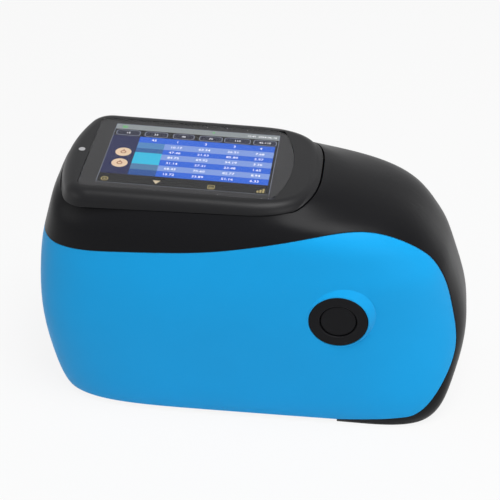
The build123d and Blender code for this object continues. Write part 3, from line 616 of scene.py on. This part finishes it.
class METER_OT_finishes(bpy.types.Operator):
    """Make the finishes and give each CAD node its own"""
    bl_idname = "meter.finishes"
    bl_label = "Finishes"

    def execute(self, context):
        build_effects()
        look = settings().finish
        black = tuple(look.black)
        FINISHES.update({
            "black_shell": moulded("Body black", black, roughness=0.34, specular=0.085,
                                   dust=0.01, wear=0.2),
            "blue_cover": moulded("Cover blue", tuple(look.blue), roughness=0.5, specular=0.08,
                                  sheen=0.1, worn=(0.2, 0.5, 0.8)),
            "black_bezel": moulded("Bezel black", black, roughness=0.42, specular=0.2,
                                   dust=0.01, wear=0.2),
            "pad_rubber": moulded("Pad rubber", (0.012, 0.012, 0.012), roughness=0.8),
            "cover_glass": clear("Cover glass", (1, 1, 1), ior=1.25),
            "display": moulded("Panel", (0.01, 0.01, 0.012), roughness=0.3, depth=0.1 * GRAIN_DEPTH,
                               specular=0.35),
            "frame_metal": metal("Frame metal", (0.6, 0.6, 0.62)),
            "ribbon_film": moulded("Ribbon film", (0.5, 0.2, 0.03), roughness=0.35),
            "lamp_lens": moulded("Lamp lens", (0.34, 0.34, 0.35), roughness=0.2, wear=0.0),
            "ring_plastic": moulded("Ring black", black, roughness=0.4, specular=0.1),
            "button_plastic": moulded("Button black", black, roughness=0.45, specular=0.1),
            "switch_plastic": moulded("Switch black", (0.01, 0.01, 0.01), roughness=0.5),
            "slider_plastic": moulded("Slider black", black, roughness=0.5),
            "board": moulded("Board green", (0.01, 0.1, 0.03), roughness=0.35),
            "port_metal": metal("Port black", (0.03, 0.03, 0.03), roughness=0.4),
            "window_glass": clear("Window glass", (0.95, 1, 0.98)),
            "bench_metal": metal("Bench black", (0.03, 0.03, 0.03), roughness=0.5),
            "barrel_metal": metal("Barrel metal", (0.4, 0.4, 0.42)),
            "lens_glass": clear("Lens glass", (1, 1, 1)),
            "lamp_glass": clear("Lamp glass", (1, 0.98, 0.9)),
            "fibre_jacket": moulded("Fibre jacket", (0.7, 0.25, 0.02), roughness=0.4),
            "chassis_metal": metal("Chassis metal", (0.6, 0.6, 0.62)),
            "cradle_plastic": moulded("Cradle plastic", (0.03, 0.03, 0.03), roughness=0.5),
            "battery_wrap": moulded("Battery wrap", (0.02, 0.06, 0.3), roughness=0.25),
            "mirror_glass": metal("Mirror", (0.9, 0.9, 0.9), roughness=0.02, spread=0.0),
            "chip_plastic": moulded("Chip black", (0.01, 0.01, 0.01), roughness=0.5),
            "night": lit("Picture night", (0.002, 0.002, 0.003)),
            "status": lit("Picture status", (0.26, 0.29, 0.30)),
            "line": lit("Picture line", (0.22, 0.24, 0.32)),
            "tab": lit("Picture tab", (0.012, 0.015, 0.04)),
            "navy": lit("Picture navy", (0.008, 0.012, 0.075)),
            "blue": lit("Picture blue", (0.015, 0.12, 0.68)),
            "lavender": lit("Picture lavender", (0.20, 0.32, 0.73)),
            "steel": lit("Picture steel", (0.068, 0.226, 0.50)),
            "slate": lit("Picture slate", (0.020, 0.110, 0.320)),
            "cyan": lit("Picture cyan", (0.020, 0.49, 0.75)),
            "teal": lit("Picture teal", (0.070, 0.190, 0.370)),
            "dusk": lit("Picture dusk", (0.012, 0.075, 0.300)),
            "tan": lit("Picture tan", (0.78, 0.58, 0.40)),
            "clay": lit("Picture clay", (0.42, 0.20, 0.12)),
            "gold": lit("Picture gold", (0.42, 0.34, 0.14)),
            "cream": lit("Picture cream", (0.62, 0.52, 0.36)),
            "leaf": lit("Picture leaf", (0.10, 0.55, 0.12)),
            "white": lit("Picture white", (0.9, 0.9, 0.95), strength=1.3),
            "screw_steel": metal("Screw steel", (0.35, 0.35, 0.36)),
            "socket_metal": metal("Socket metal", (0.65, 0.65, 0.66)),
        })
        slots = {row["node"]: row["material_slot"] for row in frame["record"]["subparts"]}
        for name, node in nodes.items():
            node.data.materials.clear()
            node.data.materials.append(finish(slots[name]))
            soften(node.data)
        return {"FINISHED"}


class METER_OT_glass(bpy.types.Operator):
    """Make the display glass with its ground edge, and the black print under it with its window"""
    bl_idname = "meter.glass"
    bl_label = "Glass and print"

    def execute(self, context):
        form = bmesh.new()
        add_plate(form, [glass_outline(0.0)], GLASS_THICKNESS, screen_frame(GLASS_THICKNESS), GLASS_EDGE)
        place_piece("cover_plate", form, "cover_glass", "case", "display_glass")
        form = bmesh.new()
        low, high = PICTURE_Y
        window = rounded(PICTURE_X, (low + PICTURE_LIFT, high + PICTURE_LIFT), WINDOW_CORNER)
        add_plate(form, [glass_outline(PRINT_INSET), window], PRINT_THICKNESS,
                  screen_frame(GLASS_THICKNESS - PRINT_SINK))
        place_piece("glass_print", form, "display")
        return {"FINISHED"}


class Picture:
    """The lit picture, gathered in one mesh for each colour and laid in thin layers."""

    def __init__(self):
        self.forms = {}

    def under(self, layer):
        """Matrix of a layer's plane; layer 0 is the lowest."""
        depth = GLASS_THICKNESS + (LAYER_TOP - layer) * LAYER_STEP
        return screen_frame(depth) @ Matrix.Translation((0, PICTURE_LIFT, 0))

    def fill(self, colour, outlines, layer):
        """Fill closed outlines with a colour."""
        form = self.forms.setdefault(colour, bmesh.new())
        add_plate(form, outlines, PICTURE_THICKNESS, self.under(layer))

    def panel(self, colour, x, y, layer, radius=0.05):
        """A filled rectangle."""
        self.fill(colour, [rounded(x, y, radius)], layer)

    def border(self, colour, x, y, layer, line):
        """The outline of a rectangle, as a line of a width with a corner radius."""
        width, radius = line
        inner = rounded((x[0] + width, x[1] - width), (y[0] + width, y[1] - width), radius - width)
        self.fill(colour, [rounded(x, y, radius), inner], layer)

    def words(self, colour, text, x, y, height, layer):
        """Numbers centred on a place."""
        form = self.forms.setdefault(colour, bmesh.new())
        add_words(form, text, x, y, height, PICTURE_THICKNESS, self.under(layer))


class METER_OT_picture(bpy.types.Operator):
    """Make the lit picture: status row, tabs, table of readings and soft keys"""
    bl_idname = "meter.picture"
    bl_label = "Screen picture"

    def execute(self, context):
        view = Picture()
        view.panel("night", PICTURE_X, PICTURE_Y, 0)
        view.panel("status", PICTURE_X, STATUS_ROW, 1)
        view.border("line", PICTURE_X, PICTURE_Y, 3, FRAME_LINE)
        self.status(view)
        self.tabs(view)
        self.table(view)
        self.round_keys(view)
        self.soft_keys(view)
        for colour, form in view.forms.items():
            place_piece(f"picture_{colour}", form, colour)
        return {"FINISHED"}

    def status(self, view):
        """Battery mark, clock and date in the top row."""
        middle = sum(STATUS_ROW) / 2
        view.border("leaf", BATTERY_X, (middle - 1.0, middle + 0.9), 2, BATTERY_LINE)
        view.panel("leaf", CHARGE_X, (middle - 0.5, middle + 0.4), 2)
        view.panel("leaf", MARK_X, (middle, middle + 1.0), 2)
        view.words("white", CLOCK, CLOCK_X, middle, CLOCK_HEIGHT, 2)

    def tabs(self, view):
        """Six outlined tabs with their numbers."""
        middle = sum(TAB_ROW) / 2
        for span, number in zip(TABS, TAB_NUMBERS):
            view.panel("tab", span, TAB_ROW, 1, TAB_LINE[1])
            view.border("line", span, TAB_ROW, 2, TAB_LINE)
            view.words("white", number, sum(span) / 2, middle, TAB_NUMBER_HEIGHT, 2)

    def table(self, view):
        """Readings in six rows under a header, beside their colour fields."""
        view.panel("navy", SIDE_COLUMN, (TABLE_ROWS[-1][0], HEADER_ROW[1]), 1)
        view.panel("blue", (NAME_COLUMN[0], TABLE_COLUMN[1]), HEADER_ROW, 1)
        fields = (("steel", TABLE_ROWS[0]), ("slate", (CYAN_ROW[1], TABLE_ROWS[1][1])),
                  ("cyan", CYAN_ROW), ("teal", (TABLE_ROWS[4][0], CYAN_ROW[0])), ("dusk", TABLE_ROWS[5]))
        for colour, span in fields:
            view.panel(colour, NAME_COLUMN, span, 2)
        for place, span in enumerate(TABLE_ROWS):
            view.panel("lavender" if place % 2 == 0 else "blue", TABLE_COLUMN, span, 2)
        for x, number in HEADER_NUMBERS:
            view.words("white", number, x, sum(HEADER_ROW) / 2, NUMBER_HEIGHT, 3)
        for row, span in enumerate(TABLE_ROWS):
            for column, x in enumerate(NUMBER_COLUMNS):
                view.words("white", self.reading(row, column), x, sum(span) / 2, NUMBER_HEIGHT, 3)

    def reading(self, row, column):
        """A made-up reading for a place in the table; the last column's are the small ones."""
        whole = (37 * row + 53 * column + 11 * row * column) % 90 + 10
        part = (29 * row + 17 * column + 7) % 90 + 10
        return f"{whole % 9 if column == len(NUMBER_COLUMNS) - 1 else whole}.{part}"

    def round_keys(self, view):
        """Two round keys beside the table, each with its mark."""
        outer, inner = KEY_MARK_RADII
        for x, y in ROUND_KEYS:
            view.fill("tan", [circle(x, y, ROUND_KEY_RADIUS)], 2)
            view.fill("clay", [circle(x, y, outer, 24), circle(x, y, inner, 24)], 3)
            view.panel("clay", (x - 0.3, x + 0.3), (y + 0.4, y + 2.0), 3, 0.2)

    def soft_keys(self, view):
        """Four signs along the bottom: ring, arrow, page and bars."""
        (ring_x, ring_y), (down_x, down_y), (box_x, box_y), (bars_x, bars_y) = ICON_PLACES
        outer, inner = ICON_RING_RADII
        view.fill("gold", [circle(ring_x, ring_y, outer, 32), circle(ring_x, ring_y, inner, 32)], 2)
        view.fill("gold", [circle(ring_x, ring_y, ICON_DOT_RADIUS, 20)], 2)
        arrow = [(down_x - 1.7, down_y + 1.3), (down_x + 1.7, down_y + 1.3), (down_x, down_y - 1.5)]
        view.fill("cream", [arrow], 2)
        view.border("gold", (box_x - 1.5, box_x + 1.5), (box_y - 1.6, box_y + 1.6), 2, BOX_LINE)
        for low, high in ((-0.2, 0.3), (-1.0, -0.6)):
            view.panel("gold", (box_x - 0.8, box_x + 0.8), (box_y + low, box_y + high), 2)
        for place, top in enumerate(ICON_BAR_TOPS):
            left = bars_x - 1.7 + ICON_BAR_PITCH * place
            view.panel("gold", (left, left + ICON_BAR_WIDTH), (bars_y - 1.5, bars_y + top), 2)


class METER_OT_grips(bpy.types.Operator):
    """Make the grip bars on the power slider and on the flap over the socket"""
    bl_idname = "meter.grips"
    bl_label = "Grips"

    def execute(self, context):
        low, high = node_box("power_slider")
        middle = (low.z + high.z) / 2
        self.bars("slider_grip", "power_knob", low.x, SLIDER_GRIP_RISE, SLIDER_GRIP_HALF,
                  [middle + step * SLIDER_GRIP_PITCH for step in (-1, 0, 1)])
        low, high = node_box("socket_flap")
        self.bars("flap_grip", "flap", low.x + FLAP_FACE, FLAP_GRIP_RISE, FLAP_GRIP_HALF,
                  [high.z - FLAP_GRIP_DROP - step * FLAP_GRIP_PITCH for step in (0, 1, 2)])
        return {"FINISHED"}

    def bars(self, name, body, face, rise, half, heights):
        """Level bars across a face that looks back, one at each height."""
        form = bmesh.new()
        for height in heights:
            add_block(form, (face - rise, face + GRIP_SEAT), (-half[0], half[0]),
                      (height - half[1], height + half[1]), GRIP_EDGE, Matrix.Scale(MM, 4))
        place_piece(name, form, "slider_plastic", body)


class METER_OT_rims(bpy.types.Operator):
    """Make the port's chamfered ring and the dished rubber pads"""
    bl_idname = "meter.rims"
    bl_label = "Ring and pads"

    def execute(self, context):
        low, high = node_box("port_ring")
        inner, outer = PORT_RADII
        form = bmesh.new()
        profile = [(inner, high.z), (inner, PORT_CHAMFER), (inner + PORT_CHAMFER, 0.0),
                   (outer - PORT_CHAMFER, 0.0), (outer, PORT_CHAMFER), (outer, high.z), (inner, high.z)]
        middle = Matrix.Translation(((low.x + high.x) / 2, 0, 0))
        add_turned(form, profile, Matrix.Scale(MM, 4) @ middle, PORT_STEPS)
        bmesh.ops.remove_doubles(form, verts=form.verts, dist=WELD * MM)
        place_piece("port_rim", form, "port_metal", "case", "port_ring")

        low, high = node_box("foot_pads")
        radius = (high.x - low.x) / 2
        form = bmesh.new()
        dish, depth = PAD_DISH
        profile = [(0, depth), (dish, depth), (dish + PAD_RIM, 0.0), (radius - PAD_RIM, 0.0),
                   (radius, PAD_RIM), (radius, high.z), (0, high.z)]
        for y in (low.y + radius, high.y - radius):
            middle = Matrix.Translation((low.x + radius, y, 0))
            add_turned(form, profile, Matrix.Scale(MM, 4) @ middle)
        place_piece("pads", form, "pad_rubber", "case", "foot_pads")
        return {"FINISHED"}


class METER_OT_stage(bpy.types.Operator):
    """Make the floor, the lights, the surround and the camera"""
    bl_idname = "meter.stage"
    bl_label = "Stage"

    def execute(self, context):
        scene = context.scene
        scene.view_settings.view_transform = "Standard"
        self.lay_floor(scene)
        self.surround(scene)
        studio = settings().studio
        for lamp, power in zip(LAMPS, (studio.key, studio.fill, TAIL_SHARE * studio.fill)):
            self.lamp(scene, *lamp, power)
        self.set_camera(scene)
        return {"FINISHED"}

    def lay_floor(self, scene):
        """A pale floor that keeps the shadow, looks white all round and is clear from below."""
        mesh = bpy.data.meshes.new("floor")
        half = FLOOR_HALF
        mesh.from_pydata([(-half, -half, 0), (half, -half, 0), (half, half, 0), (-half, half, 0)],
                         [], [(0, 1, 2, 3)])
        ground = bpy.data.objects.new("floor", mesh)
        scene.collection.objects.link(ground)
        material, tree, shader = new_material("Floor white")
        shader.inputs["Base Color"].default_value = (FLOOR_TONE, FLOOR_TONE, FLOOR_TONE, 1)
        shader.inputs["Roughness"].default_value = 0.9
        shader.inputs["Specular IOR Level"].default_value = 0.0
        glow = tree.nodes.new("ShaderNodeEmission")
        share = math_node(tree, "MULTIPLY", background_rays(tree), FLOOR_GLOW)
        side = tree.nodes.new("ShaderNodeNewGeometry")
        under = tree.nodes.new("ShaderNodeBsdfTransparent")
        top = self.mix(tree, share, shader.outputs["BSDF"], glow.outputs["Emission"])
        sheet = self.mix(tree, side.outputs["Backfacing"], top, under.outputs["BSDF"])
        output = next(n for n in tree.nodes if n.type == "OUTPUT_MATERIAL")
        link(tree, sheet, output.inputs["Surface"])
        mesh.materials.append(material)

    def mix(self, tree, amount, first, second):
        """Mix of two shaders; gives its output."""
        node = tree.nodes.new("ShaderNodeMixShader")
        link(tree, amount, node.inputs["Fac"])
        link(tree, first, node.inputs[1])
        link(tree, second, node.inputs[2])
        return node.outputs["Shader"]

    def surround(self, scene):
        """Even light from all sides, which looks plain white as a background."""
        world = bpy.data.worlds.new("Surround")
        world.use_nodes = True
        scene.world = world
        tree = world.node_tree
        back = next(n for n in tree.nodes if n.type == "BACKGROUND")
        strength = settings().studio.sky
        lift = math_node(tree, "MULTIPLY", background_rays(tree), 1.0 - strength)
        link(tree, math_node(tree, "ADD", lift, strength), back.inputs["Strength"])
        back.inputs["Color"].default_value = (1, 1, 1, 1)

    def lamp(self, scene, name, place, aim, size, power):
        """A soft rectangular light aimed at a point."""
        data = bpy.data.lights.new(name, "AREA")
        data.shape = "RECTANGLE"
        data.size, data.size_y = size
        data.energy = power
        light = bpy.data.objects.new(name, data)
        scene.collection.objects.link(light)
        light.location = place
        light.rotation_mode = "QUATERNION"
        light.rotation_quaternion = (Vector(aim) - Vector(place)).to_track_quat("-Z", "Y")

    def set_camera(self, scene):
        """The photograph's camera."""
        data = bpy.data.cameras.new("camera")
        data.sensor_width = SENSOR_WIDTH
        data.lens = FOCAL_PIXELS / FRAME_PIXELS * SENSOR_WIDTH
        data.clip_start, data.clip_end = CLIP_RANGE
        camera = bpy.data.objects.new("camera", data)
        scene.collection.objects.link(camera)
        camera.location = CAMERA_PLACE
        turn, rise = math.radians(CAMERA_AZIMUTH), math.radians(CAMERA_ELEVATION)
        ahead = Vector((-math.sin(turn) * math.cos(rise), math.cos(turn) * math.cos(rise), -math.sin(rise)))
        camera.rotation_mode = "QUATERNION"
        camera.rotation_quaternion = ahead.to_track_quat("-Z", "Y")
        scene.camera = camera


class METER_PT_panel(bpy.types.Panel):
    """Sidebar panel with the meter's settings and a button for each step"""
    bl_idname = "METER_PT_panel"
    bl_label = "Colour meter"
    bl_space_type = "VIEW_3D"
    bl_region_type = "UI"
    bl_category = "Colour meter"

    def draw(self, context):
        look = settings()
        for group, names in ((look.finish, ("blue", "black")), (look.studio, ("sky", "key", "fill"))):
            for name in names:
                self.layout.prop(group, name)
        for operator in STEPS:
            self.layout.operator(operator.bl_idname)


STEPS = (METER_OT_finishes, METER_OT_glass, METER_OT_picture, METER_OT_grips, METER_OT_rims, METER_OT_stage)
CLASSES = (MeterFinish, MeterStudio, MeterSettings, *STEPS, METER_PT_panel)


def register():
    """Register the classes and the settings."""
    for item in CLASSES:
        bpy.utils.register_class(item)
    bpy.types.Scene.colour_meter = PointerProperty(type=MeterSettings)


def unregister():
    """Undo register."""
    del bpy.types.Scene.colour_meter
    for item in reversed(CLASSES):
        bpy.utils.unregister_class(item)


def main():
    """Build the whole scene in order."""
    register()
    for step in STEPS:
        group, name = step.bl_idname.split(".")
        getattr(getattr(bpy.ops, group), name)()


if __name__ == "__main__":
    main()
